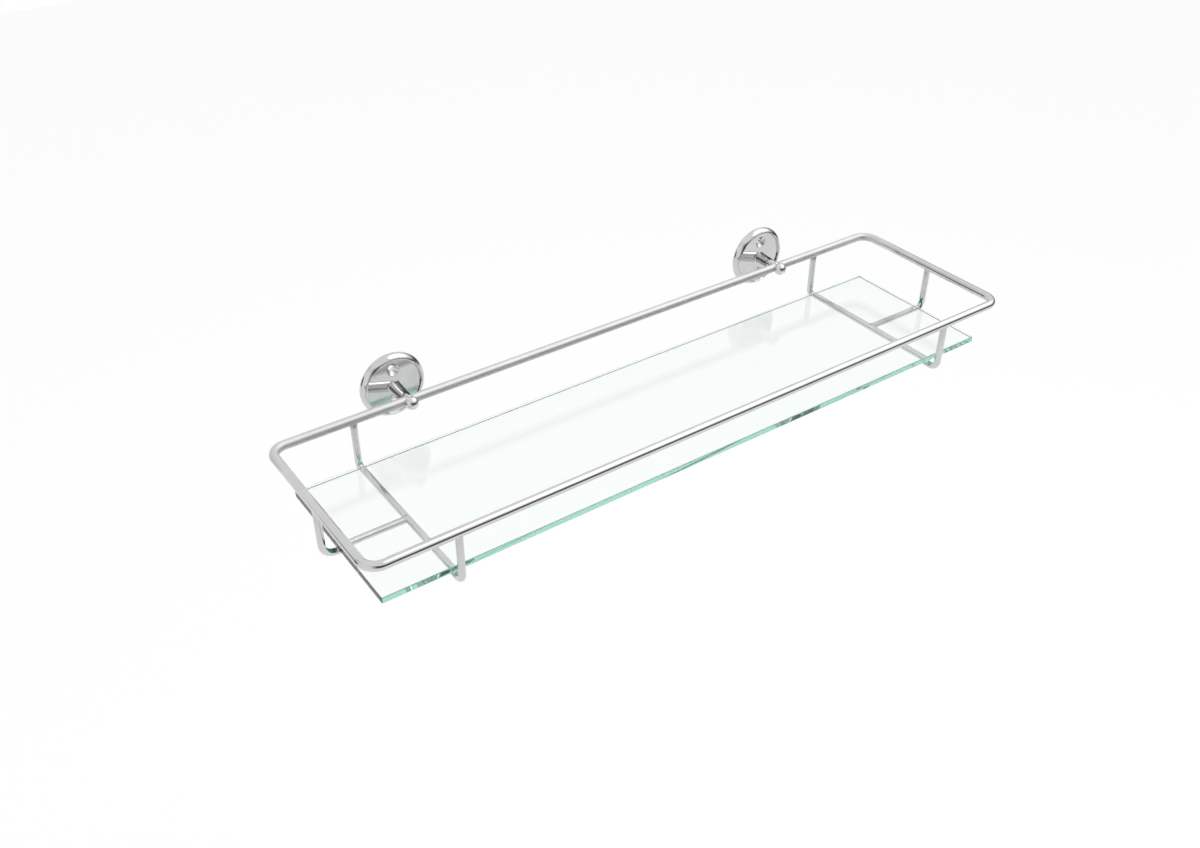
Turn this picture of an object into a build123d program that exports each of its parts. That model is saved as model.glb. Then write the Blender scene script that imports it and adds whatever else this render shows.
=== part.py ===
"""Glass wall shelf: a clear plate in a bent-rod cradle, held off the wall by two short arms.

Millimetres, +Z up, +Y into the wall. The origin is on the wall plane, at the centre of the four
wall screw holes, so the shelf stands out towards -Y. Left is -X, as seen from the room.
"""

import os

from build123d import *

os.makedirs("parts", exist_ok=True)

# Gallery rail: one rod bent into a closed rectangle, level with the centres of the roses.
RAIL_LENGTH = 494.0  # along the wall, axis to axis
RAIL_DEPTH = 130.0  # out from the wall, axis to axis
RAIL_DIAMETER = 6.0
RAIL_BEND_RADIUS = 10.0  # at the rod's axis
WALL_TO_RAIL = 24.0  # wall plane to the back rod's axis

# Cradle: two U-shaped wires under the rail, and a hooked wire from each end of it.
WIRE_DIAMETER = 4.5
CRADLE_SPACING = 385.0  # between the two U-shaped wires
CRADLE_DROP = 36.3  # rail axis down to the axis of the level runs
CRADLE_BEND_RADIUS = 6.0
END_BEND_RADIUS = 8.0

# Glass plate, loose on the level runs.
GLASS_LENGTH = 477.0
GLASS_DEPTH = 115.0
GLASS_THICKNESS = 4.0
GLASS_REST_GAP = 0.2  # clearance that stands for the line contact on the wires
GLASS_CORNER_RADIUS = 1.0
GLASS_ARRIS = 0.4  # bevel that takes the sharpness off every long edge

# Wall roses: domed round castings, hollow behind.
ROSE_SPACING = 308.0
ROSE_RADIUS = 22.5  # at the widest circle
ROSE_FOOT_RADIUS = 22.0  # where the rim meets the wall
ROSE_WIDEST_DEPTH = 1.5  # wall plane to the widest circle
ROSE_CREST_RADIUS = 19.9  # top of the rounded rim
ROSE_CREST_DEPTH = 5.8
ROSE_LIP_RADIUS = 19.5  # inner side of the rim's flat top
ROSE_FACE_RADIUS = 19.0  # where the rim steps down to the flat face
ROSE_FACE_DEPTH = 5.2
ROSE_FACE_THICKNESS = 2.2
ROSE_HOLLOW_RADIUS = 20.2
ROSE_HOLLOW_STEP_RADIUS = 17.6
ROSE_HOLLOW_STRAIGHT = 1.2  # straight part of the hollow's side, next to the wall

# Wall screw holes, one above and one below each arm.
SCREW_HOLE_SPACING = 25.0
SCREW_HOLE_RADIUS = 2.25
COUNTERSINK_RADIUS = 4.25
COUNTERSINK_ANGLE = 90.0
SCREW_BOSS_RADIUS = 5.0

# Arms: turned taper posts with a saddle for the rail.
ARM_BASE_RADIUS = 4.1
ARM_HEAD_RADIUS = 3.3
ARM_BASE_FLARE = 0.5

# Ball nuts in front of the rail.
BALL_RADIUS = 4.5
BALL_AHEAD_OF_RAIL = 4.3  # rail axis to the ball's centre
NECK_RADIUS = 3.5
NUT_BORE_BEYOND_CENTRE = 2.6

# Tie screws: each one clamps rose, arm, rail and ball nut together from behind.
TIE_SCREW_RADIUS = 1.5
TIE_SCREW_CLEARANCE = 0.1
NUT_THREAD_CLEARANCE = 0.03
TIE_HEAD_RADIUS = 2.8
TIE_HEAD_HEIGHT = 1.9
TIE_HEAD_ROUND = 0.7
TIE_RECESS_LENGTH = 3.0
TIE_RECESS_WIDTH = 0.7
TIE_RECESS_DEPTH = 1.1
TIE_SCREW_BEYOND_BALL_CENTRE = 2.2
WASHER_RADIUS = 3.4
WASHER_THICKNESS = 0.6

# Places worked out from the sizes above.
SIDES = {"left": -1, "right": 1}
RAIL_BACK = -WALL_TO_RAIL
RAIL_FRONT = -WALL_TO_RAIL - RAIL_DEPTH
RAIL_MIDDLE = (RAIL_BACK + RAIL_FRONT) / 2
RAIL_END = RAIL_LENGTH / 2
ARM_X = ROSE_SPACING / 2
CRADLE_X = CRADLE_SPACING / 2
RUN_LEVEL = -CRADLE_DROP
GLASS_UNDERSIDE = RUN_LEVEL + WIRE_DIAMETER / 2 + GLASS_REST_GAP
BALL_CENTRE = RAIL_BACK - BALL_AHEAD_OF_RAIL
WASHER_SEAT = ROSE_FACE_THICKNESS - ROSE_FACE_DEPTH
HEAD_SEAT = WASHER_SEAT + WASHER_THICKNESS


def bend_rod(path: Wire, diameter: float):
    """Sweep a round rod along a path of straight runs and arcs, inside the open part."""
    with BuildSketch(Plane(origin=path @ 0, z_dir=path % 0)) as section:
        Circle(diameter / 2)
    sweep(section.sketch, path=path)


def drill_for_tie_screw(arm_x: float, start: float, end: float, radius: float):
    """Cut a hole along Y for a tie screw, between two places on Y, in the open part."""
    with BuildSketch(Plane((arm_x, start, 0), x_dir=(1, 0, 0), z_dir=(0, -1, 0))) as section:
        Circle(radius)
    extrude(section.sketch, amount=start - end, mode=Mode.SUBTRACT)


# Gallery rail, cross-drilled for the two tie screws
with BuildPart() as gallery_rail:
    with BuildLine() as rail_path:
        FilletPolyline(
            (-RAIL_END, RAIL_BACK),
            (RAIL_END, RAIL_BACK),
            (RAIL_END, RAIL_FRONT),
            (-RAIL_END, RAIL_FRONT),
            radius=RAIL_BEND_RADIUS,
            close=True,
        )
    bend_rod(rail_path.wire(), RAIL_DIAMETER)
    rail_drill_radius = TIE_SCREW_RADIUS + TIE_SCREW_CLEARANCE
    for sign in SIDES.values():
        drill_for_tie_screw(sign * ARM_X, 0, RAIL_MIDDLE, rail_drill_radius)
gallery_rail.part.label = "gallery_rail"
export_step(gallery_rail.part, "parts/gallery_rail.step")

for side, sign in SIDES.items():
    # U-shaped cradle wire, welded under the back and the front of the rail
    with BuildPart() as cradle_wire:
        with BuildLine() as cradle_path:
            FilletPolyline(
                (sign * CRADLE_X, RAIL_BACK, 0),
                (sign * CRADLE_X, RAIL_BACK, RUN_LEVEL),
                (sign * CRADLE_X, RAIL_FRONT, RUN_LEVEL),
                (sign * CRADLE_X, RAIL_FRONT, 0),
                radius=CRADLE_BEND_RADIUS,
            )
        bend_rod(cradle_path.wire(), WIRE_DIAMETER)
        add(gallery_rail.part, mode=Mode.SUBTRACT)
    cradle_wire.part.label = f"cradle_wire_{side}"
    export_step(cradle_wire.part, f"parts/cradle_wire_{side}.step")

    # Hooked end wire, from the rail's end inwards to a butt weld on the cradle wire
    with BuildPart() as end_wire:
        with BuildLine() as end_path:
            FilletPolyline(
                (sign * RAIL_END, RAIL_MIDDLE, 0),
                (sign * RAIL_END, RAIL_MIDDLE, RUN_LEVEL),
                (sign * CRADLE_X, RAIL_MIDDLE, RUN_LEVEL),
                radius=END_BEND_RADIUS,
            )
        bend_rod(end_path.wire(), WIRE_DIAMETER)
        add(gallery_rail.part, mode=Mode.SUBTRACT)
        add(cradle_wire.part, mode=Mode.SUBTRACT)
    end_wire.part.label = f"end_wire_{side}"
    export_step(end_wire.part, f"parts/end_wire_{side}.step")

    # Wall rose: turned outside, hollow behind, with a boss round each wall screw hole
    axis_x = sign * ARM_X
    rose_axis = Axis((axis_x, 0, 0), (0, 1, 0))
    screw_places = [(axis_x, level) for level in (SCREW_HOLE_SPACING / 2, -SCREW_HOLE_SPACING / 2)]
    with BuildPart() as wall_rose:
        with BuildSketch(Plane.XY):
            with BuildLine():
                widest = (axis_x + ROSE_RADIUS, -ROSE_WIDEST_DEPTH)
                foot = (axis_x + ROSE_FOOT_RADIUS, 0)
                crest = (axis_x + ROSE_CREST_RADIUS, -ROSE_CREST_DEPTH)
                lip = (axis_x + ROSE_LIP_RADIUS, -ROSE_CREST_DEPTH)
                face_edge = (axis_x + ROSE_FACE_RADIUS, -ROSE_FACE_DEPTH)
                face_centre = (axis_x, -ROSE_FACE_DEPTH)
                TangentArc(widest, foot, tangent=(0, 1))
                TangentArc(widest, crest, tangent=(0, -1))
                Polyline(crest, lip, face_edge, face_centre, (axis_x, 0), foot)
            make_face()
        revolve(axis=rose_axis)
        with BuildSketch(Plane.XY):
            with BuildLine():
                Polyline(
                    (axis_x, 0),
                    (axis_x + ROSE_HOLLOW_RADIUS, 0),
                    (axis_x + ROSE_HOLLOW_RADIUS, -ROSE_HOLLOW_STRAIGHT),
                    (axis_x + ROSE_HOLLOW_STEP_RADIUS, WASHER_SEAT),
                    (axis_x, WASHER_SEAT),
                    close=True,
                )
            make_face()
        revolve(axis=rose_axis, mode=Mode.SUBTRACT)
        with BuildSketch(Plane.XZ):
            with Locations(*screw_places):
                Circle(SCREW_BOSS_RADIUS)
        extrude(amount=ROSE_FACE_DEPTH)
        for place_x, place_z in screw_places:
            with Locations(Location((place_x, -ROSE_FACE_DEPTH, place_z), (90, 0, 0))):
                CounterSinkHole(
                    radius=SCREW_HOLE_RADIUS,
                    counter_sink_radius=COUNTERSINK_RADIUS,
                    counter_sink_angle=COUNTERSINK_ANGLE,
                )
        drill_for_tie_screw(axis_x, 0, RAIL_BACK, TIE_SCREW_RADIUS + TIE_SCREW_CLEARANCE)
    wall_rose.part.label = f"wall_rose_{side}"
    export_step(wall_rose.part, f"parts/wall_rose_{side}.step")

    # Arm: a turned taper that stands on the rose and saddles the back half of the rail
    with BuildPart() as arm:
        with BuildSketch(Plane.XY):
            with BuildLine():
                Polyline(
                    (axis_x, -ROSE_FACE_DEPTH),
                    (axis_x + ARM_BASE_RADIUS + ARM_BASE_FLARE, -ROSE_FACE_DEPTH),
                    (axis_x + ARM_BASE_RADIUS, -ROSE_FACE_DEPTH - ARM_BASE_FLARE),
                    (axis_x + ARM_HEAD_RADIUS, RAIL_BACK),
                    (axis_x, RAIL_BACK),
                    close=True,
                )
            make_face()
        revolve(axis=rose_axis)
        add(gallery_rail.part, mode=Mode.SUBTRACT)
        drill_for_tie_screw(axis_x, 0, RAIL_BACK, TIE_SCREW_RADIUS + TIE_SCREW_CLEARANCE)
    arm.part.label = f"arm_{side}"
    export_step(arm.part, f"parts/arm_{side}.step")

    # Ball nut: a necked ball that closes over the front half of the rail, with a blind bore
    with BuildPart() as ball_nut:
        with BuildSketch(Plane.XY):
            with BuildLine():
                ball_tip = (axis_x, BALL_CENTRE - BALL_RADIUS)
                neck_join = (BALL_RADIUS**2 - NECK_RADIUS**2) ** 0.5
                neck_foot = (axis_x + NECK_RADIUS, RAIL_BACK)
                neck_top = (axis_x + NECK_RADIUS, BALL_CENTRE + neck_join)
                ThreePointArc(ball_tip, (axis_x + BALL_RADIUS, BALL_CENTRE), neck_top)
                Polyline(neck_top, neck_foot, (axis_x, RAIL_BACK), ball_tip)
            make_face()
        revolve(axis=rose_axis)
        add(gallery_rail.part, mode=Mode.SUBTRACT)
        bore_end = BALL_CENTRE - NUT_BORE_BEYOND_CENTRE
        drill_for_tie_screw(axis_x, RAIL_BACK, bore_end, TIE_SCREW_RADIUS + NUT_THREAD_CLEARANCE)
    ball_nut.part.label = f"ball_nut_{side}"
    export_step(ball_nut.part, f"parts/ball_nut_{side}.step")

    # Washer under the tie screw's head, inside the hollow of the rose
    with BuildPart() as tie_washer:
        with BuildSketch(Plane((axis_x, HEAD_SEAT, 0), x_dir=(1, 0, 0), z_dir=(0, -1, 0))):
            Circle(WASHER_RADIUS)
            Circle(TIE_SCREW_RADIUS + TIE_SCREW_CLEARANCE, mode=Mode.SUBTRACT)
        extrude(amount=WASHER_THICKNESS)
    tie_washer.part.label = f"tie_washer_{side}"
    export_step(tie_washer.part, f"parts/tie_washer_{side}.step")

    # Tie screw: pan head with a cross recess, facing the wall
    with BuildPart() as tie_screw:
        with BuildSketch(Plane((axis_x, HEAD_SEAT, 0), x_dir=(1, 0, 0), z_dir=(0, 1, 0))):
            Circle(TIE_HEAD_RADIUS)
        extrude(amount=TIE_HEAD_HEIGHT)
        fillet(tie_screw.edges().sort_by(Axis.Y)[-1], TIE_HEAD_ROUND)
        head_top = Plane(
            (axis_x, HEAD_SEAT + TIE_HEAD_HEIGHT, 0), x_dir=(1, 0, 0), z_dir=(0, 1, 0)
        )
        with BuildSketch(head_top):
            Rectangle(TIE_RECESS_LENGTH, TIE_RECESS_WIDTH)
            Rectangle(TIE_RECESS_WIDTH, TIE_RECESS_LENGTH)
        extrude(amount=-TIE_RECESS_DEPTH, mode=Mode.SUBTRACT)
        with BuildSketch(Plane((axis_x, HEAD_SEAT, 0), x_dir=(1, 0, 0), z_dir=(0, -1, 0))):
            Circle(TIE_SCREW_RADIUS)
        extrude(amount=HEAD_SEAT - BALL_CENTRE + TIE_SCREW_BEYOND_BALL_CENTRE)
    tie_screw.part.label = f"tie_screw_{side}"
    export_step(tie_screw.part, f"parts/tie_screw_{side}.step")

# Glass plate, with rounded corners and a fine arris
with BuildPart() as glass_plate:
    with BuildSketch(Plane((0, RAIL_MIDDLE, GLASS_UNDERSIDE))):
        RectangleRounded(GLASS_LENGTH, GLASS_DEPTH, GLASS_CORNER_RADIUS)
    extrude(amount=GLASS_THICKNESS)
    flat_faces = glass_plate.faces().filter_by(Axis.Z)
    chamfer(flat_faces.edges(), GLASS_ARRIS)
glass_plate.part.label = "glass_plate"
export_step(glass_plate.part, "parts/glass_plate.step")
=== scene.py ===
"""Glass wall shelf in a chromed rod cradle: smooth pieces and their finishes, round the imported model.

Metres, +Z up and +Y into the wall. Left is -X, as seen from the room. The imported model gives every
place; the sizes that it can't give, such as bend radii, are fields of the piece that has them.
"""

import logging
import math
from collections.abc import Mapping, Sequence
from dataclasses import dataclass
from enum import Enum

import bpy
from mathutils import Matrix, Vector


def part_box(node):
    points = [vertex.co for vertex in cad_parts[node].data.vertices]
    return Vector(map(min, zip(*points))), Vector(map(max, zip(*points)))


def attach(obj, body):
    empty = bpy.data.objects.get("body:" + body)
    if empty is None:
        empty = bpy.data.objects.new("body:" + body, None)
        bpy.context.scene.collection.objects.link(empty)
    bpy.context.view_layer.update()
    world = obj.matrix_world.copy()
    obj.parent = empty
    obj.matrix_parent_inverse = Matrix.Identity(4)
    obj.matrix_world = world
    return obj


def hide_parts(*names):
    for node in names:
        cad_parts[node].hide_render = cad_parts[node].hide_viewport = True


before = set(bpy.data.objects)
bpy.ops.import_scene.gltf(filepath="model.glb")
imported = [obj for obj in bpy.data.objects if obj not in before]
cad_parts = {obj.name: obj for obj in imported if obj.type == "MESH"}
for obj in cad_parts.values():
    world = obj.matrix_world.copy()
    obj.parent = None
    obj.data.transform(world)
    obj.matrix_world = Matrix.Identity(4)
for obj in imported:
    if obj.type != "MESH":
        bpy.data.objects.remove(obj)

log = logging.getLogger("wall_shelf")

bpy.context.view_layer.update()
TOUCHING = 1e-6
RIGHT_ANGLE = math.pi / 2
WELD_MARK = "weld"
UP, OUT, ALONG = Vector((0, 0, 1)), Vector((0, -1, 0)), Vector((1, 0, 0))

Colour = tuple[float, float, float]
Triple = tuple[float, float, float]
Band = tuple[float, float]
Outline = list[tuple[float, float]]


class Side(Enum):
    """The two ends of the shelf, with the sign of X there."""

    LEFT = -1
    RIGHT = 1

    @property
    def word(self) -> str:
        """The side's name as it ends a node's name."""
        return self.name.lower()


class Body(Enum):
    """The bodies that pieces ride on."""

    FRAME = "frame"
    GLASS = "glass"


class Slot(Enum):
    """The record's material slots."""

    ROD = "rod_chrome"
    BRACKET = "bracket_chrome"
    FIXING = "zinc_steel"
    GLASS = "clear_glass"


# ---------------------------------------------------------------- shader maths


class Value:
    """A shader socket that adds Math nodes when it is used in a sum."""

    def __init__(self, graph: "Graph", socket: bpy.types.NodeSocket) -> None:
        """Wrap one output socket of a graph."""
        self.graph = graph
        self.socket = socket

    def math(self, operation: str, *others: "Value | float", first: float | None = None) -> "Value":
        """Add one Math node.

        Args:
            operation: The Math node's operation.
            others: The values that follow this one.
            first: A number that comes before this value, for the reflected forms.

        Returns:
            The node's result.
        """
        values = [self, *others] if first is None else [first, self, *others]
        return self.graph.add("ShaderNodeMath", {"operation": operation}, dict(enumerate(values)))

    def __add__(self, other: "Value | float") -> "Value":
        """Sum."""
        return self.math("ADD", other)

    __radd__ = __add__

    def __sub__(self, other: "Value | float") -> "Value":
        """Difference."""
        return self.math("SUBTRACT", other)

    def __rsub__(self, other: float) -> "Value":
        """A number less this value."""
        return self.math("SUBTRACT", first=other)

    def __mul__(self, other: "Value | float") -> "Value":
        """Product."""
        return self.math("MULTIPLY", other)

    __rmul__ = __mul__

    def __pow__(self, other: "Value | float") -> "Value":
        """Power."""
        return self.math("POWER", other)

    def __abs__(self) -> "Value":
        """Size without the sign."""
        return self.math("ABSOLUTE")

    def band(self, low: float, high: float) -> "Value":
        """Rise smoothly from 0 at low to 1 at high.

        Args:
            low: Where the rise starts.
            high: Where it ends.

        Returns:
            The risen value, from 0 to 1.
        """
        settings = {"interpolation_type": "SMOOTHSTEP"}
        return self.graph.add("ShaderNodeMapRange", settings, {"Value": self, 1: low, 2: high})


class Graph:
    """The nodes of one material or of the world."""

    def __init__(self, tree: bpy.types.NodeTree) -> None:
        """Start from an empty node tree."""
        self.tree = tree
        tree.nodes.clear()

    def add(
        self,
        kind: str,
        settings: Mapping[str, object] | None = None,
        values: Mapping[str | int, object] | None = None,
        output: str | int = 0,
    ) -> Value:
        """Add a node, then set and link its sockets.

        Args:
            kind: The node's type.
            settings: The node's own properties, set first.
            values: A number, a colour or a wrapped socket for each input.
            output: The output that is wanted.

        Returns:
            The wanted output.
        """
        node = self.tree.nodes.new(kind)
        for name, setting in (settings or {}).items():
            setattr(node, name, setting)
        for key, value in (values or {}).items():
            if isinstance(value, Value):
                self.tree.links.new(value.socket, node.inputs[key])
            else:
                node.inputs[key].default_value = value
        return Value(self, node.outputs[output] if node.outputs else None)

    def place(self) -> Value:
        """The surface's own place, in metres."""
        return self.add("ShaderNodeTexCoord", output="Object")

    def split(self, vector: Value) -> tuple[Value, ...]:
        """The X, Y and Z parts of a vector.

        Args:
            vector: The vector.

        Returns:
            Its three parts.
        """
        node = self.add("ShaderNodeSeparateXYZ", values={"Vector": vector}).socket.node
        return tuple(Value(self, output) for output in node.outputs)

    def along(self, vector: Value, aim: Triple) -> Value:
        """How far a vector goes along an aim.

        Args:
            vector: The vector.
            aim: The aim.

        Returns:
            Their scalar product.
        """
        settings = {"operation": "DOT_PRODUCT"}
        return self.add("ShaderNodeVectorMath", settings, {0: vector, 1: aim}, output="Value")

    def stretched(self, scale: Triple, turn: float = 0.0) -> Value:
        """The surface's place, turned about Z and scaled, to draw a pattern out.

        Args:
            scale: The factors along X, Y and Z. The pattern is drawn out where one is less than 1.
            turn: The turn about X and about Z, in radians.

        Returns:
            The coordinates.
        """
        values = {"Vector": self.place(), "Rotation": (turn, 0, turn), "Scale": scale}
        return self.add("ShaderNodeMapping", values=values)

    def noise(self, scale: float, detail: float = 2.0, at: Value | None = None) -> Value:
        """Smooth noise about one half.

        Args:
            scale: Cells per metre, or per unit of the given coordinates.
            detail: Octaves of finer noise.
            at: Coordinates other than the surface's place.

        Returns:
            The noise, from 0 to 1.
        """
        values = {"Vector": at or self.place(), "Scale": scale, "Detail": detail}
        return self.add("ShaderNodeTexNoise", values=values)

    def mix(self, factor: Value, low: Value | Colour, high: Colour) -> Value:
        """A colour between two others.

        Args:
            factor: 0 for the first colour, 1 for the second.
            low: The first colour, plain or wrapped.
            high: The second colour.

        Returns:
            The mixed colour.
        """
        first = low if isinstance(low, Value) else (*low, 1.0)
        values = {0: factor, 6: first, 7: (*high, 1.0)}
        return self.add("ShaderNodeMix", {"data_type": "RGBA"}, values, output=2)

    def bump(self, height: Value, depth: float) -> Value:
        """A bumped normal.

        Args:
            height: The relief, as a multiple of the depth.
            depth: The depth, in metres.

        Returns:
            The normal.
        """
        return self.add("ShaderNodeBump", values={"Height": height, "Distance": depth, "Strength": 1.0})


def new_graph(name: str) -> tuple[bpy.types.Material, Graph]:
    """Make a material with an empty graph.

    Args:
        name: The material's name.

    Returns:
        The material and its graph.
    """
    material = bpy.data.materials.new(name)
    material.use_nodes = True
    return material, Graph(material.node_tree)


# ---------------------------------------------------------------- finishes


@dataclass(frozen=True)
class Chrome:
    """Bright chrome plate, duller where a weld was dressed, and hazy on the rail's back run.

    Each haze is added to the roughness. The wall's haze rises along Y over wall_band, and only above
    rail_band, which leaves the wires out. A pattern's scale is in cells per metre, its stretch and
    turn draw it out, and its band hardens it.
    """

    name: str
    bright: Colour = (0.63, 0.63, 0.625)
    deep: Colour = (0.59, 0.59, 0.59)
    weld: Colour = (0.50, 0.495, 0.485)
    weld_cover: float = 0.8
    roughness: float = 0.05
    haze: float = 0.04
    wipe_haze: float = 0.03
    weld_haze: float = 0.12
    wall_haze: float = 0.50
    wall_band: Band = (-0.060, -0.030)
    rail_band: Band = (-0.007, -0.003)
    cloud_scale: float = 60
    cloud_band: Band = (0.35, 0.65)
    wipe_scale: float = 420
    wipe_stretch: Triple = (0.06, 1, 1)
    wipe_turn: float = 0.9
    wipe_band: Band = (0.60, 0.74)
    weld_scale: float = 900
    weld_least: float = 0.7
    weld_patches: float = 0.6
    ripple_scale: float = 45
    ripple_depth: float = 0.000012
    grain_scale: float = 1500
    grain_stretch: Triple = (0.08, 1, 1)
    grain_turn: float = 0.5
    grain_depth: float = 0.0000012

    def relief(self, graph: Graph) -> Value:
        """The plate's slow ripple and fine polishing grain, as a height in ripple depths."""
        grain = graph.noise(self.grain_scale, 3, graph.stretched(self.grain_stretch, self.grain_turn))
        return graph.noise(self.ripple_scale, 1) + grain * (self.grain_depth / self.ripple_depth)

    def make(self) -> bpy.types.Material:
        """Build the finish's material."""
        material, graph = new_graph(self.name)
        cloud = graph.noise(self.cloud_scale, 3)
        wipe = graph.noise(self.wipe_scale, 2, graph.stretched(self.wipe_stretch, self.wipe_turn))
        weld = graph.add("ShaderNodeAttribute", {"attribute_name": WELD_MARK}, output="Fac")
        patches = self.weld_least + self.weld_patches * graph.noise(self.weld_scale, 2)
        dull = weld.band(0.0, 1.0) * patches
        plate = graph.mix(cloud.band(*self.cloud_band), self.deep, self.bright)
        _, inward, height = graph.split(graph.place())
        near = inward.band(*self.wall_band) * height.band(*self.rail_band)
        worn = cloud * self.haze + wipe.band(*self.wipe_band) * self.wipe_haze
        roughness = self.roughness + worn + dull * self.weld_haze + near * self.wall_haze
        shader = graph.add(
            "ShaderNodeBsdfPrincipled",
            values={
                "Base Color": graph.mix(dull * self.weld_cover, plate, self.weld),
                "Metallic": 1.0,
                "Roughness": roughness,
                "Normal": graph.bump(self.relief(graph), self.ripple_depth),
            },
        )
        graph.add("ShaderNodeOutputMaterial", values={"Surface": shader})
        return material


@dataclass(frozen=True)
class TurnedChrome(Chrome):
    """Chrome plate over lathe-turned metal, with faint rings round each bracket's axis."""

    wall_haze: float = 0.0
    ripple_scale: float = 60
    axis_x: float = 0.154
    ring_pitch: float = 0.00055
    ring_depth: float = 0.0000009

    def relief(self, graph: Graph) -> Value:
        """Fine turning rings round each bracket's axis, over the plate's ripple."""
        across, _, up = graph.split(graph.place())
        offset = abs(across) - self.axis_x
        radius = (offset * offset + up * up) ** 0.5
        spoke = graph.add("ShaderNodeCombineXYZ", values={"X": radius})
        rings = graph.noise(1 / self.ring_pitch, 2, spoke)
        return graph.noise(self.ripple_scale, 1) + rings * (self.ring_depth / self.ripple_depth)


@dataclass(frozen=True)
class FaceChrome(TurnedChrome):
    """The roses' faces, polished with a lean that throws their reflections to one side.

    The leans are slopes at the middle of the shelf. They fall towards the right, so that the left
    rose's face leans more than the right one's.
    """

    lean_across: float = 0.44
    lean_fall: float = 0.27
    lean_up: float = 0.20

    def relief(self, graph: Graph) -> Value:
        """The turned plate's relief, on the face's slope."""
        across, _, up = graph.split(graph.place())
        fall = across * self.lean_fall
        slope = across * (self.lean_across - fall) + up * (self.lean_up - fall)
        return super().relief(graph) - slope * (1 / self.ripple_depth)


@dataclass(frozen=True)
class Zinc:
    """Bright zinc plate on small fixings."""

    name: str = "bright_zinc"
    pale: Colour = (0.60, 0.61, 0.61)
    smoky: Colour = (0.42, 0.43, 0.45)
    roughness: float = 0.24
    haze: float = 0.15
    cloud_scale: float = 700
    cloud_band: Band = (0.3, 0.7)
    grain_scale: float = 5000
    grain_depth: float = 0.000004

    def make(self) -> bpy.types.Material:
        """Build the finish's material."""
        material, graph = new_graph(self.name)
        cloud = graph.noise(self.cloud_scale, 4)
        shader = graph.add(
            "ShaderNodeBsdfPrincipled",
            values={
                "Base Color": graph.mix(cloud.band(*self.cloud_band), self.smoky, self.pale),
                "Metallic": 1.0,
                "Roughness": self.roughness + cloud * self.haze,
                "Normal": graph.bump(graph.noise(self.grain_scale, 2), self.grain_depth),
            },
        )
        graph.add("ShaderNodeOutputMaterial", values={"Surface": shader})
        return material


@dataclass(frozen=True)
class FloatGlass:
    """Clear float glass, green where light runs a long way through it."""

    name: str
    tint: Colour = (0.974, 0.986, 0.990)
    smear: Colour = (0.965, 0.977, 0.982)
    refraction: float = 1.5
    clean: float = 0.0
    smeared: float = 0.015
    wipe_scale: float = 14
    wipe_stretch: Triple = (1, 2.4, 1)
    wipe_turn: float = 0.4
    wipe_band: Band = (0.50, 0.72)
    relief_depth: float = 0.0000004
    relief_scale: float = 90
    absorbed: Colour = (0.0, 0.68, 0.42)
    density: float = 7.0

    def make(self) -> bpy.types.Material:
        """Build the finish's material, with its plain absorption inside."""
        material, graph = new_graph(self.name)
        wipe = graph.noise(self.wipe_scale, 4, graph.stretched(self.wipe_stretch, self.wipe_turn))
        wiped = wipe.band(*self.wipe_band)
        shader = graph.add(
            "ShaderNodeBsdfPrincipled",
            values={
                "Base Color": graph.mix(wiped, self.tint, self.smear),
                "Roughness": self.clean + wiped * self.smeared,
                "IOR": self.refraction,
                "Transmission Weight": 1.0,
                "Normal": graph.bump(graph.noise(self.relief_scale, 2), self.relief_depth),
            },
        )
        inside = graph.add(
            "ShaderNodeVolumeAbsorption",
            values={"Color": (*self.absorbed, 1), "Density": self.density},
        )
        graph.add("ShaderNodeOutputMaterial", values={"Surface": shader, "Volume": inside})
        return material


# ---------------------------------------------------------------- modelling moves


def deselect() -> None:
    """Leave nothing selected."""
    bpy.ops.object.select_all(action="DESELECT")


def pick(piece: bpy.types.Object) -> None:
    """Make one object the only selected and the active one."""
    deselect()
    piece.select_set(True)
    bpy.context.view_layer.objects.active = piece


def settle(name: str) -> bpy.types.Object:
    """Name the active object and put its place into its mesh.

    Args:
        name: The piece's name.

    Returns:
        The object.
    """
    piece = bpy.context.active_object
    piece.name = name
    piece.data.name = name
    pick(piece)
    bpy.ops.object.transform_apply(location=True, rotation=True, scale=True)
    return piece


def push(step: Vector) -> None:
    """Extrude the selected ring or face, and move it.

    Args:
        step: How far it moves.
    """
    bpy.ops.mesh.extrude_region()
    bpy.ops.transform.translate(value=step)


def close_mesh() -> None:
    """Weld doubled points and turn all faces outwards, in edit mode."""
    bpy.ops.mesh.select_all(action="SELECT")
    bpy.ops.mesh.remove_doubles(threshold=TOUCHING)
    bpy.ops.mesh.normals_make_consistent(inside=False)
    bpy.ops.object.mode_set(mode="OBJECT")


def smooth(piece: bpy.types.Object, angle_degrees: float = 32) -> None:
    """Shade a piece smooth, but for its sharp edges.

    Args:
        piece: The piece.
        angle_degrees: The least angle of a sharp edge.
    """
    pick(piece)
    bpy.ops.object.shade_smooth_by_angle(angle=math.radians(angle_degrees))


def apply_modifier(piece: bpy.types.Object, kind: str, **settings: object) -> None:
    """Add a modifier and apply it.

    Args:
        piece: The piece.
        kind: The modifier's type.
        settings: The modifier's properties.
    """
    pick(piece)
    modifier = piece.modifiers.new(kind.lower(), kind)
    for name, setting in settings.items():
        setattr(modifier, name, setting)
    bpy.ops.object.modifier_apply(modifier=modifier.name)


def smooth_flats(piece: bpy.types.Object, angle_degrees: float = 30, weight: int = 60) -> None:
    """Shade a piece smooth, and let the larger faces turn the normals at their edges.

    Args:
        piece: The piece.
        angle_degrees: The least angle of a sharp edge.
        weight: How much more a larger face counts.
    """
    smooth(piece, angle_degrees)
    apply_modifier(piece, "WEIGHTED_NORMAL", keep_sharp=True, weight=weight)


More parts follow.
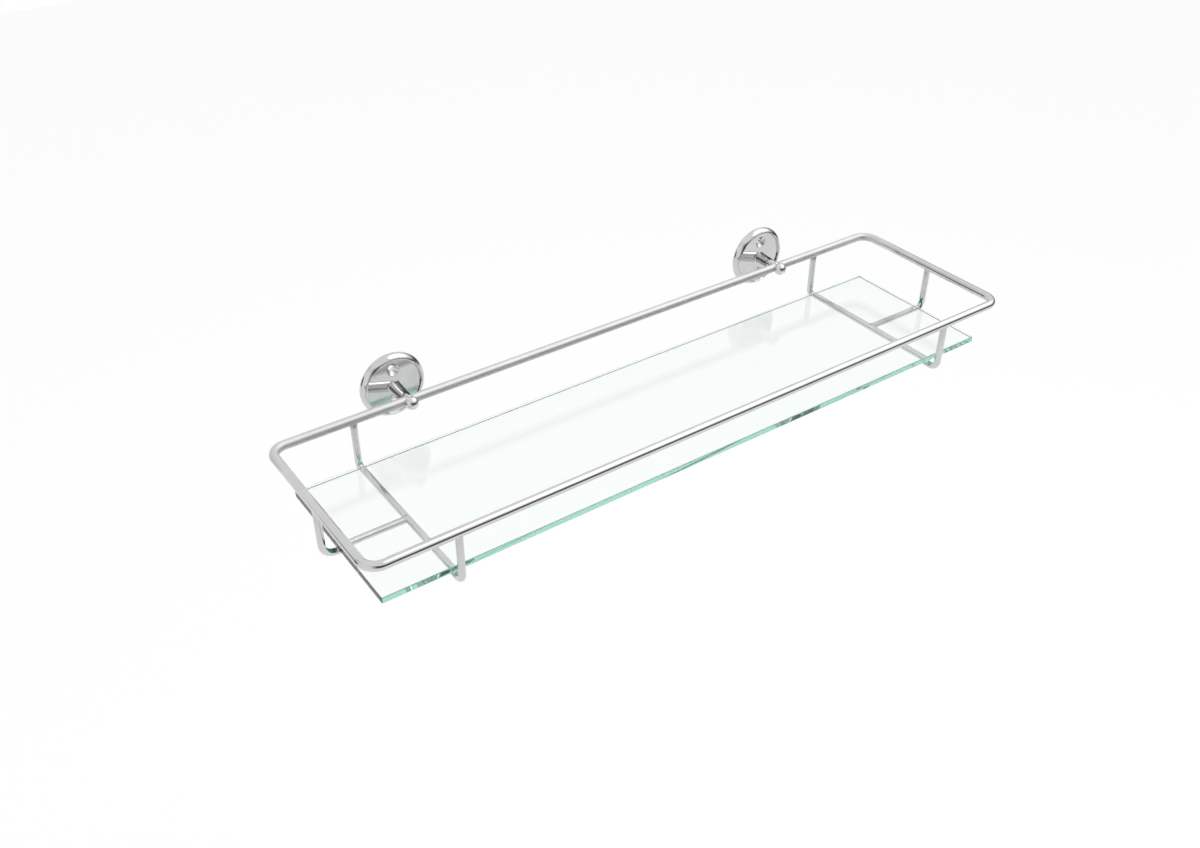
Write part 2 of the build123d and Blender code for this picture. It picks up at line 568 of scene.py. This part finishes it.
def cut(piece: bpy.types.Object, tool: bpy.types.Object, operation: str = "DIFFERENCE") -> None:
    """Cut a piece with a tool, or join the tool to it, and put the tool away.

    Args:
        piece: The piece.
        tool: The closed mesh that cuts it.
        operation: The Boolean modifier's operation.
    """
    apply_modifier(piece, "BOOLEAN", operation=operation, object=tool, solver="EXACT")
    bpy.data.objects.remove(tool)


def copy_piece(piece: bpy.types.Object, name: str, shift: Vector) -> bpy.types.Object:
    """Copy a piece with its own mesh, and move the copy.

    Args:
        piece: The piece.
        name: The copy's name.
        shift: How far the copy moves.

    Returns:
        The copy.
    """
    pick(piece)
    bpy.ops.object.duplicate(linked=False)
    bpy.ops.transform.translate(value=shift)
    return settle(name)


def mirror_piece(piece: bpy.types.Object, name: str) -> bpy.types.Object:
    """Copy a piece to the other end of the shelf.

    Args:
        piece: The piece.
        name: The copy's name.

    Returns:
        The mirrored copy.
    """
    pick(piece)
    bpy.ops.object.duplicate(linked=False)
    bpy.context.active_object.scale = (-1, 1, 1)
    twin = settle(name)
    bpy.ops.object.mode_set(mode="EDIT")
    close_mesh()
    return twin


def side_arc(start: tuple[float, float], end: tuple[float, float], count: int) -> Outline:
    """An outline's arc that leaves its start along the lathe's axis.

    Args:
        start: The widest point, as (radius, place on the axis).
        end: The arc's other end, nearer to the axis.
        count: How many steps it has.

    Returns:
        The arc's points after its start.
    """
    inward, onward = start[0] - end[0], end[1] - start[1]
    radius = (inward**2 + onward**2) / (2 * inward)
    turn = math.asin(onward / radius)
    angles = [turn * step / count for step in range(1, count + 1)]
    return [
        (start[0] - radius + radius * math.cos(a), start[1] + radius * math.sin(a)) for a in angles
    ]


@dataclass
class RodBender:
    """Draws a round rod out of one ring, along straight runs and round right-angled bends."""

    radius: float
    sides: int = 48
    bend_steps: int = 20
    place: Vector = None
    heading: Vector = None

    def begin(self, place: Vector, heading: Vector, capped: bool = True, flare: float = 0.0) -> None:
        """Add the first ring, square to the rod.

        Args:
            place: The ring's centre.
            heading: The way the rod leaves it.
            capped: Whether the ring is filled, so that the rod is closed.
            flare: How much wider than the rod this ring is.
        """
        deselect()
        self.place, self.heading = place.copy(), heading.copy()
        bpy.ops.mesh.primitive_circle_add(
            vertices=self.sides,
            radius=self.radius + flare,
            fill_type="NGON" if capped else "NOTHING",
            location=place,
            rotation=heading.to_track_quat("Z", "Y").to_euler(),
        )
        settle("rod")
        bpy.ops.object.mode_set(mode="EDIT")
        bpy.ops.mesh.select_all(action="SELECT")

    def run(self, length: float, scale: float = 1.0) -> None:
        """Carry the rod straight on.

        Args:
            length: How far.
            scale: The last ring's width over that of the one before.
        """
        step = self.heading * length
        push(step)
        self.place += step
        if scale != 1.0:
            bpy.ops.transform.resize(value=(scale, scale, scale), center_override=self.place)

    def run_to(self, target: float) -> None:
        """Carry the rod on until its place along its heading is the target.

        Args:
            target: That place, along the heading.
        """
        self.run(target - self.place.dot(self.heading))

    def bend(self, towards: Vector, radius: float) -> None:
        """Bend the rod through a right angle.

        Args:
            towards: The new heading.
            radius: The bend's radius, at the rod's axis.
        """
        centre = self.place + towards * radius
        bpy.ops.mesh.spin(
            steps=self.bend_steps,
            angle=RIGHT_ANGLE,
            center=centre,
            axis=towards.cross(self.heading),
            use_auto_merge=False,
        )
        self.place = centre + self.heading * radius
        self.heading = towards.copy()

    def finish(self, name: str) -> bpy.types.Object:
        """Close the mesh and shade it.

        Args:
            name: The piece's name.

        Returns:
            The rod.
        """
        close_mesh()
        piece = settle(name)
        smooth(piece)
        return piece


@dataclass(frozen=True)
class Lathe:
    """Turns an outline round an axis along Y. The seed is a square that shrinks to its first point."""

    axis_x: float
    steps: int
    axis_z: float = 0.0
    seed_size: float = 0.001

    def turn(
        self, name: str, outline: Sequence[tuple[float, float]], closed: bool = False
    ) -> bpy.types.Object:
        """Draw the outline point by point, and spin it.

        Args:
            name: The piece's name.
            outline: Points of (radius, place on Y).
            closed: Whether the outline ends where it starts, off the axis.

        Returns:
            The turned piece.
        """
        deselect()
        points = [Vector((self.axis_x + radius, place, self.axis_z)) for radius, place in outline]
        bpy.ops.mesh.primitive_plane_add(size=self.seed_size, location=points[0])
        piece = settle(name)
        bpy.ops.object.mode_set(mode="EDIT")
        bpy.ops.mesh.select_all(action="SELECT")
        bpy.ops.mesh.merge(type="CENTER")
        ring = [*points, points[0]] if closed else points
        for here, there in zip(ring, ring[1:]):
            bpy.ops.mesh.extrude_verts_indiv()
            bpy.ops.transform.translate(value=there - here)
        bpy.ops.mesh.select_all(action="SELECT")
        bpy.ops.mesh.spin(
            steps=self.steps,
            angle=2 * math.pi,
            center=(self.axis_x, 0, self.axis_z),
            axis=(0, 1, 0),
            use_auto_merge=True,
        )
        close_mesh()
        return piece


def mark_welds(piece: bpy.types.Object, welds: Sequence[Vector], reach: float = 0.007) -> None:
    """Write how near each point of a rod is to a weld, from 0 to 1, for the finish to read.

    Args:
        piece: The rod.
        welds: The welds' places.
        reach: How far from a weld the dressing goes.
    """
    attribute = piece.data.attributes.new(WELD_MARK, "FLOAT", "POINT")
    for point, entry in zip(piece.data.vertices, attribute.data):
        away = min((point.co - weld).length for weld in welds)
        entry.value = max(0.0, 1 - away / reach)


def mount(
    piece: bpy.types.Object, node: str, body: Body, slot: Slot, *finishes: bpy.types.Material
) -> None:
    """Dress a piece, and let it stand for its node.

    Args:
        piece: The piece.
        node: The node that it stands for.
        body: The body that it rides on.
        slot: The record's material slot. It is not used.
        finishes: Its materials.
    """
    piece.data.materials.clear()
    for finish in finishes:
        piece.data.materials.append(finish)
    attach(piece, body.value)
    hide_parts(node)
    log.info("%s stands for %s, %d faces", piece.name, node, len(piece.data.polygons))


# ---------------------------------------------------------------- sub-assemblies


@dataclass
class Cradle:
    """The bent-rod cradle: the gallery rail, two U-shaped wires under it and two hooked end wires."""

    rail_bend: float = 0.010
    cradle_bend: float = 0.006
    end_bend: float = 0.008
    weld_flare: float = 0.00055
    weld_length: float = 0.0026
    bury: float = 0.0014

    def __post_init__(self) -> None:
        """Read the rods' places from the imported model."""
        low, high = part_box("gallery_rail")
        self.rail_radius = (high.z - low.z) / 2
        self.rail_level = (high.z + low.z) / 2
        self.end_x = high.x - self.rail_radius
        self.back, self.front = high.y - self.rail_radius, low.y + self.rail_radius
        self.middle = (self.back + self.front) / 2
        low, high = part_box("cradle_wire_right")
        self.wire_radius = (high.x - low.x) / 2
        self.wire_x = (high.x + low.x) / 2
        self.run_level = low.z + self.wire_radius

    def flare_out(self, rod: RodBender, start: Vector, heading: Vector) -> None:
        """Begin a wire inside the rod that it is welded to, with the weld's fillet round it.

        Args:
            rod: The bender.
            start: The wire's end, inside the other rod.
            heading: The way the wire leaves it.
        """
        rod.begin(start, heading, flare=self.weld_flare)
        rings = self.fillet_radii()
        for before, after in zip(rings, rings[1:]):
            rod.run(self.weld_length / (len(rings) - 1), after / before)

    def flare_in(self, rod: RodBender) -> None:
        """End a wire with the fillet of its weld."""
        rings = self.fillet_radii()[::-1]
        for before, after in zip(rings, rings[1:]):
            rod.run(self.weld_length / (len(rings) - 1), after / before)

    def fillet_radii(self, steps: int = 6) -> list[float]:
        """The radii of a weld fillet's rings, from its foot to the plain wire."""
        shares = [1 - step / steps for step in range(steps + 1)]
        return [self.wire_radius + self.weld_flare * share**2 for share in shares]

    def build_rail(self) -> bpy.types.Object:
        """Bend the closed gallery rail, starting in the middle of its back run."""
        rod = RodBender(self.rail_radius, sides=64, bend_steps=28)
        rod.begin(Vector((0, self.back, self.rail_level)), -ALONG, capped=False)
        straight = self.end_x - self.rail_bend
        rod.run_to(straight)
        rod.bend(OUT, self.rail_bend)
        rod.run_to(-self.front - self.rail_bend)
        rod.bend(ALONG, self.rail_bend)
        rod.run_to(straight)
        rod.bend(-OUT, self.rail_bend)
        rod.run_to(self.back - self.rail_bend)
        rod.bend(-ALONG, self.rail_bend)
        rod.run_to(0.0)
        return rod.finish("rail_rod")

    def build_cradle_wire(self) -> bpy.types.Object:
        """Bend the left U-shaped wire, from the back of the rail to its front."""
        rod = RodBender(self.wire_radius)
        top = self.rail_level - self.bury
        self.flare_out(rod, Vector((-self.wire_x, self.back, top)), -UP)
        rod.run_to(-self.run_level - self.cradle_bend)
        rod.bend(OUT, self.cradle_bend)
        rod.run_to(-self.front - self.cradle_bend)
        rod.bend(UP, self.cradle_bend)
        rod.run_to(top - self.weld_length)
        self.flare_in(rod)
        return rod.finish("cradle_rod_left")

    def build_end_wire(self) -> bpy.types.Object:
        """Bend the left end wire, from the rail's end to its butt weld on the U-shaped wire."""
        rod = RodBender(self.wire_radius)
        self.flare_out(rod, Vector((-self.end_x, self.middle, self.rail_level - self.bury)), -UP)
        rod.run_to(-self.run_level - self.end_bend)
        rod.bend(ALONG, self.end_bend)
        rod.run_to(-self.wire_x - self.bury - self.weld_length / 2)
        self.flare_in(rod)
        return rod.finish("end_rod_left")

    def build(self, chrome: bpy.types.Material) -> None:
        """Make all the rods and dress them.

        Args:
            chrome: The plated finish.
        """
        wire_welds, end_welds = [], []
        below = self.rail_level - self.rail_radius
        for side in Side:
            butt = Vector((side.value * self.wire_x, self.middle, self.run_level))
            hook = Vector((side.value * self.end_x, self.middle, below))
            legs = [Vector((side.value * self.wire_x, y, below)) for y in (self.back, self.front)]
            wire_welds += [*legs, butt]
            end_welds += [hook, butt + side.value * ALONG * self.wire_radius]
        mount(self.build_rail(), "gallery_rail", Body.FRAME, Slot.ROD, chrome)
        wire, end = self.build_cradle_wire(), self.build_end_wire()
        wires = [wire, copy_piece(wire, "cradle_rod_right", 2 * self.wire_x * ALONG)]
        ends = [end, mirror_piece(end, "end_rod_right")]
        for side, cradle_rod, end_rod in zip(Side, wires, ends):
            mark_welds(cradle_rod, wire_welds)
            mark_welds(end_rod, end_welds)
            mount(cradle_rod, f"cradle_wire_{side.word}", Body.FRAME, Slot.ROD, chrome)
            mount(end_rod, f"end_wire_{side.word}", Body.FRAME, Slot.ROD, chrome)


@dataclass
class Bracket:
    """One wall bracket: a rose, the arm that stands on it, and the ball nut in front of the rail.

    The nudges and the clearance keep the cutters' facets off the rose's own, so that every cut
    leaves a closed mesh.
    """

    face_depth: float = 0.0052
    face_radius: float = 0.0190
    face_fillet: float = 0.00012
    lip_radius: float = 0.0195
    lip_round: float = 0.0001
    crest_radius: float = 0.0199
    widest_depth: float = 0.0015
    foot_radius: float = 0.0220
    hollow_radius: float = 0.0202
    hollow_step_radius: float = 0.0176
    hollow_straight: float = 0.0012
    face_thickness: float = 0.0022
    bore_radius: float = 0.0016
    screw_spacing: float = 0.025
    screw_radius: float = 0.00225
    sink_radius: float = 0.00425
    sink_round: float = 0.0002
    sink_clearance: float = 0.00003
    sink_lift: float = 0.001
    boss_radius: float = 0.0050
    boss_root: float = 0.0005
    boss_chamfer: float = 0.0003
    boss_nudge_x: float = 0.00002
    boss_nudge_z: float = 0.00001
    arm_base_flare: float = 0.0005
    arm_head_radius: float = 0.0033
    neck_radius: float = 0.0035
    neck_groove: float = 0.0003
    saddle_reach: float = 0.01
    rose_steps: int = 144
    boss_steps: int = 50
    screw_steps: int = 64
    post_steps: int = 80

    def __post_init__(self) -> None:
        """Read the left bracket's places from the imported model."""
        low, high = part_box("wall_rose_left")
        self.axis_x = (low.x + high.x) / 2
        self.rose_radius = (high.x - low.x) / 2
        self.crest_depth = -low.y
        low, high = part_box("arm_left")
        self.arm_base_radius = (high.z - low.z) / 2 - self.arm_base_flare
        low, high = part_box("ball_nut_left")
        self.ball_radius = (high.z - low.z) / 2
        self.ball_tip = low.y
        low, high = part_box("gallery_rail")
        self.rail_radius = (high.z - low.z) / 2
        self.rail_back = high.y - self.rail_radius

    def screw_tool(self, level: float) -> bpy.types.Object:
        """A cutter for one countersunk hole, with the fine round of its mouth.

        Args:
            level: The hole's height from the rose's centre.

        Returns:
            The cutter.
        """
        face = -self.face_depth
        mouth = self.sink_radius + self.sink_round + self.sink_clearance
        throat = face + self.sink_radius - self.screw_radius
        outline = [
            (0.0, face - self.sink_lift),
            (mouth, face - self.sink_lift),
            (mouth, face - self.sink_clearance),
            (self.sink_radius + 0.35 * self.sink_round, face + 0.25 * self.sink_round),
            (self.sink_radius - 0.3 * self.sink_round, face + 0.7 * self.sink_round),
            (self.screw_radius, throat),
            (self.screw_radius, self.sink_lift),
            (0.0, self.sink_lift),
        ]
        return Lathe(self.axis_x, self.screw_steps, level).turn("screw_tool", outline)

    def screw_boss(self, level: float, seat: float) -> bpy.types.Object:
        """The boss behind one screw hole.

        Args:
            level: The hole's height from the rose's centre.
            seat: Where the back of the rose's face is, along Y.

        Returns:
            The boss, rooted in the face.
        """
        outline = [
            (0.0, seat - self.boss_root),
            (self.boss_radius, seat - self.boss_root),
            (self.boss_radius, -self.boss_chamfer),
            (self.boss_radius - self.boss_chamfer, 0.0),
            (0.0, 0.0),
        ]
        lathe = Lathe(self.axis_x + self.boss_nudge_x, self.boss_steps, level + self.boss_nudge_z)
        return lathe.turn("boss", outline)

    def build_rose(self) -> bpy.types.Object:
        """Turn the rose, add its screw bosses behind and sink its two screw holes."""
        crest = -self.crest_depth
        widest = (self.rose_radius, -self.widest_depth)
        seat = -self.face_depth + self.face_thickness
        rim = side_arc(widest, (self.crest_radius, crest), count=14)[::-1]
        foot = side_arc(widest, (self.foot_radius, 0.0), count=4)
        outline = [
            (self.bore_radius, -self.face_depth),
            (self.face_radius, -self.face_depth),
            (self.face_radius + self.face_fillet, -self.face_depth - self.face_fillet / 2),
            (self.lip_radius - self.lip_round, crest + 0.6 * self.lip_round),
            (self.lip_radius + self.lip_round / 2, crest - 0.1 * self.lip_round),
            *rim,
            widest,
            *foot,
            (self.hollow_radius, 0.0),
            (self.hollow_radius, -self.hollow_straight),
            (self.hollow_step_radius, seat),
            (self.bore_radius, seat),
        ]
        rose = Lathe(self.axis_x, self.rose_steps).turn("rose_left", outline, closed=True)
        levels = (self.screw_spacing / 2, -self.screw_spacing / 2)
        for level in levels:
            cut(rose, self.screw_boss(level, seat), "UNION")
        for level in levels:
            cut(rose, self.screw_tool(level))
        smooth_flats(rose)
        return rose

    def rail_tool(self) -> bpy.types.Object:
        """A straight round cutter where the rail passes."""
        rod = RodBender(self.rail_radius, sides=96)
        rod.begin(Vector((self.axis_x - self.saddle_reach, self.rail_back, 0)), ALONG)
        rod.run(2 * self.saddle_reach)
        return rod.finish("rail_tool")

    def build_arm(self) -> bpy.types.Object:
        """Turn the tapered arm, with a fine flare at its base and a saddle for the rail."""
        base, length = -self.face_depth, self.rail_back + self.face_depth
        count = 6
        flare = [
            (
                self.arm_base_radius + self.arm_base_flare * (1 - math.sin(turn)),
                base - self.arm_base_flare * (1 - math.cos(turn)),
            )
            for turn in (RIGHT_ANGLE * step / count for step in range(count + 1))
        ]
        rings = [
            (
                self.arm_base_radius + (self.arm_head_radius - self.arm_base_radius) * share,
                base + length * share,
            )
            for share in (0.25, 0.5, 0.75, 0.9, 1.0)
        ]
        outline = [(self.bore_radius, base), *flare, *rings, (self.bore_radius, self.rail_back)]
        arm = Lathe(self.axis_x, self.post_steps).turn("arm_post_left", outline, closed=True)
        cut(arm, self.rail_tool())
        smooth(arm)
        return arm

    def build_ball(self) -> bpy.types.Object:
        """Turn the necked ball nut, hollowed where it closes over the rail."""
        centre = self.ball_tip + self.ball_radius
        meet = math.asin(self.neck_radius / self.ball_radius)
        count = 26
        arc = [
            (self.ball_radius * math.sin(angle), centre + self.ball_radius * math.cos(angle))
            for angle in (meet + (math.pi - meet) * step / count for step in range(1, count + 1))
        ]
        shoulder = centre + self.ball_radius * math.cos(meet)
        outline = [
            (0.0, self.rail_back),
            (self.neck_radius, self.rail_back),
            (self.neck_radius, shoulder + 2 * self.neck_groove),
            (self.neck_radius - self.neck_groove, shoulder + self.neck_groove),
            (self.neck_radius - self.neck_groove / 2, shoulder + self.neck_groove / 4),
            *arc[:-1],
            (0.0, self.ball_tip),
        ]
        ball = Lathe(self.axis_x, self.post_steps).turn("ball_end_left", outline)
        cut(ball, self.rail_tool())
        smooth(ball, 40)
        return ball

    def dress_face(self, piece: bpy.types.Object, square: float = 0.999, near: float = 0.00005) -> None:
        """Give the flat in front of a rose the faces' finish. Arms and ball nuts have no such flat.

        Args:
            piece: The piece.
            square: The least cosine between a facet that belongs to the flat and the room.
            near: The most that its centre is off the flat.
        """
        for facet in piece.data.polygons:
            flat = facet.normal.y < -square and abs(facet.center.y + self.face_depth) < near
            facet.material_index = int(flat)

    def build(self, chrome: bpy.types.Material, face: bpy.types.Material) -> None:
        """Make the left bracket's pieces, copy them to the right, and dress them all.

        Args:
            chrome: The plated finish.
            face: The finish of the roses' faces.
        """
        made = {
            "wall_rose": (self.build_rose(), "rose_right"),
            "arm": (self.build_arm(), "arm_post_right"),
            "ball_nut": (self.build_ball(), "ball_end_right"),
        }
        for node, (piece, right_name) in made.items():
            twin = copy_piece(piece, right_name, -2 * self.axis_x * ALONG)
            for side, one in zip(Side, (piece, twin)):
                mount(one, f"{node}_{side.word}", Body.FRAME, Slot.BRACKET, chrome, face)
                self.dress_face(one)


@dataclass
class Fixings:
    """The hidden tie screws and their washers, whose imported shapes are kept."""

    def build(self, zinc: bpy.types.Material) -> None:
        """Give each fixing its finish.

        Args:
            zinc: The plated finish.
        """
        for side in Side:
            for kind in ("tie_screw", "tie_washer"):
                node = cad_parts[f"{kind}_{side.word}"]
                node.data.materials.clear()
                node.data.materials.append(zinc)
                log.info("%s keeps its packed shape", node.name)


@dataclass
class GlassPlate:
    """The loose clear plate, with rounded corners and polished edges."""

    corner_radius: float = 0.0010
    corner_facets: int = 6
    arris: float = 0.0004
    arris_facets: int = 2
    flat_cosine: float = 0.99

    def select_edges(self, piece: bpy.types.Object, upright: bool) -> None:
        """Select the plate's upright corner edges, or those round its two faces.

        Args:
            piece: The plate, in object mode.
            upright: Whether the corner edges are wanted.
        """
        points = piece.data.vertices
        for edge in piece.data.edges:
            first, second = (points[i].co for i in edge.vertices)
            edge.select = (abs(first.z - second.z) > TOUCHING) == upright
        for point in points:
            point.select = False
        for face in piece.data.polygons:
            face.select = False

    def bevel(self, piece: bpy.types.Object, upright: bool, width: float, segments: int) -> None:
        """Round or bevel one set of edges.

        Args:
            piece: The plate.
            upright: Whether the corner edges are meant.
            width: The bevel's width on each face.
            segments: How many facets it has.
        """
        pick(piece)
        bpy.ops.object.mode_set(mode="EDIT")
        bpy.ops.mesh.select_mode(type="EDGE")
        bpy.ops.mesh.select_all(action="DESELECT")
        bpy.ops.object.mode_set(mode="OBJECT")
        self.select_edges(piece, upright)
        bpy.ops.object.mode_set(mode="EDIT")
        bpy.ops.mesh.bevel(offset=width, segments=segments, affect="EDGES")
        bpy.ops.mesh.select_mode(type="VERT")
        bpy.ops.object.mode_set(mode="OBJECT")

    def build(self, clear: bpy.types.Material, edge: bpy.types.Material) -> None:
        """Make the plate and dress its faces and edges.

        Args:
            clear: The finish of its two faces.
            edge: The finish of its polished edges.
        """
        low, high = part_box("glass_plate")
        deselect()
        bpy.ops.mesh.primitive_cube_add(size=1, location=(low + high) / 2, scale=high - low)
        plate = settle("glass_sheet")
        self.bevel(plate, True, self.corner_radius, self.corner_facets)
        self.bevel(plate, False, self.arris, self.arris_facets)
        mount(plate, "glass_plate", Body.GLASS, Slot.GLASS, clear, edge)
        for face in plate.data.polygons:
            face.material_index = 0 if abs(face.normal.z) > self.flat_cosine else 1
        smooth_flats(plate)


# ---------------------------------------------------------------- studio


@dataclass(frozen=True)
class SoftBox:
    """One large soft lamp."""

    name: str
    place: Triple
    aim: Triple
    width: float
    height: float
    watts: float

    def hang(self) -> None:
        """Put the lamp up."""
        bpy.ops.object.light_add(type="AREA", location=self.place)
        lamp = bpy.context.active_object
        lamp.name = self.name
        lamp.rotation_euler = (Vector(self.aim) - Vector(self.place)).to_track_quat("-Z", "Y").to_euler()
        lamp.data.shape = "RECTANGLE"
        lamp.data.size, lamp.data.size_y = self.width, self.height
        lamp.data.energy = self.watts


@dataclass
class Studio:
    """A plain pale floor, soft light and the camera.

    The world's aims are directions, and its bands are how far a direction goes along one. The glow
    is high on the right. The horizon is dark in front and on the right, and in the back left corner.
    """

    floor_drop: float = 1.1
    floor_size: float = 10.0
    floor_colour: Colour = (0.90, 0.90, 0.90)
    glow: float = 0.95
    glow_aim: Triple = (0.63, -0.11, 0.77)
    glow_band: Band = (0.84, 0.95)
    horizon_depth: float = 0.93
    horizon_aim: Triple = (0.3, 0.0, 1.0)
    horizon_band: Band = (0.30, 0.65)
    front_left_band: Band = (-0.85, -0.35)
    front_back_band: Band = (0.58, 0.72)
    corner_aim: Triple = (-0.83, 0.55, 0.0)
    corner_band: Band = (0.95, 0.985)
    bounces: int = 48
    camera_place: Triple = (-0.4233, -0.6141, 0.4302)
    camera_turn: float = 35.21
    camera_tilt: float = 35.15
    camera_lens: float = 36.72
    camera_sensor: float = 36.0
    camera_clip: Band = (0.01, 100)
    boxes: tuple[SoftBox, ...] = (
        SoftBox("key_box", (0.9, -0.9, 1.9), (0, -0.1, 0), width=0.9, height=0.9, watts=8.0),
    )

    def build_floor(self) -> None:
        """Lay the floor and give it its plain pale finish."""
        deselect()
        bpy.ops.mesh.primitive_plane_add(size=self.floor_size, location=(0, 0, -self.floor_drop))
        floor = settle("studio_floor")
        material, graph = new_graph("pale_floor")
        shader = graph.add(
            "ShaderNodeBsdfPrincipled",
            values={"Base Color": (*self.floor_colour, 1), "Roughness": 0.9, "Specular IOR Level": 0.0},
        )
        graph.add("ShaderNodeOutputMaterial", values={"Surface": shader})
        floor.data.materials.append(material)

    def build_world(self) -> None:
        """Surround the shelf with white, and a glow and a dark horizon that only reflections show."""
        world = bpy.data.worlds.new("studio")
        bpy.context.scene.world = world
        world.use_nodes = True
        graph = Graph(world.node_tree)
        way = graph.add("ShaderNodeTexCoord", output="Generated")
        across, inward, _ = graph.split(way)
        glow = graph.along(way, self.glow_aim).band(*self.glow_band)
        low = 1 - graph.along(way, self.horizon_aim).band(*self.horizon_band)
        front = across.band(*self.front_left_band) * (1 - inward.band(*self.front_back_band))
        corner = graph.along(way, self.corner_aim).band(*self.corner_band)
        dusk = low * (front + corner)
        light = (1.0 + glow * self.glow) * (1 - dusk * self.horizon_depth)
        direct = graph.add("ShaderNodeLightPath", output="Is Camera Ray")
        through = graph.add("ShaderNodeLightPath", output="Is Transmission Ray")
        strength = light + (direct + through) * (1 - light)
        shader = graph.add("ShaderNodeBackground", values={"Color": (1, 1, 1, 1), "Strength": strength})
        graph.add("ShaderNodeOutputWorld", values={"Surface": shader})

    def build_camera(self) -> None:
        """Set the camera at its viewing angle."""
        bpy.ops.object.camera_add(location=self.camera_place)
        camera = bpy.context.active_object
        camera.rotation_euler = (
            math.radians(90 - self.camera_tilt),
            0,
            -math.radians(self.camera_turn),
        )
        camera.data.lens = self.camera_lens
        camera.data.sensor_width = self.camera_sensor
        camera.data.clip_start, camera.data.clip_end = self.camera_clip
        bpy.context.scene.camera = camera

    def build(self) -> None:
        """Make the studio, and let light pass many times along the glass."""
        self.build_floor()
        self.build_world()
        for box in self.boxes:
            box.hang()
        self.build_camera()
        scene = bpy.context.scene
        scene.view_settings.view_transform = "Standard"
        scene.cycles.max_bounces = self.bounces
        scene.cycles.glossy_bounces = self.bounces
        scene.cycles.transmission_bounces = self.bounces


def main() -> None:
    """Build the shelf's sub-assemblies and the studio round it."""
    logging.basicConfig(level=logging.INFO, format="%(name)s: %(message)s")
    Studio().build()
    Cradle().build(Chrome("rod_chrome_plate").make())
    Bracket().build(TurnedChrome("bracket_chrome_plate").make(), FaceChrome("rose_face_plate").make())
    Fixings().build(Zinc().make())
    faces = FloatGlass("clear_float_glass").make()
    edges = FloatGlass("polished_glass_edge", clean=0.03, relief_depth=0.000001, relief_scale=500).make()
    GlassPlate().build(faces, edges)


if __name__ == "__main__":
    main()
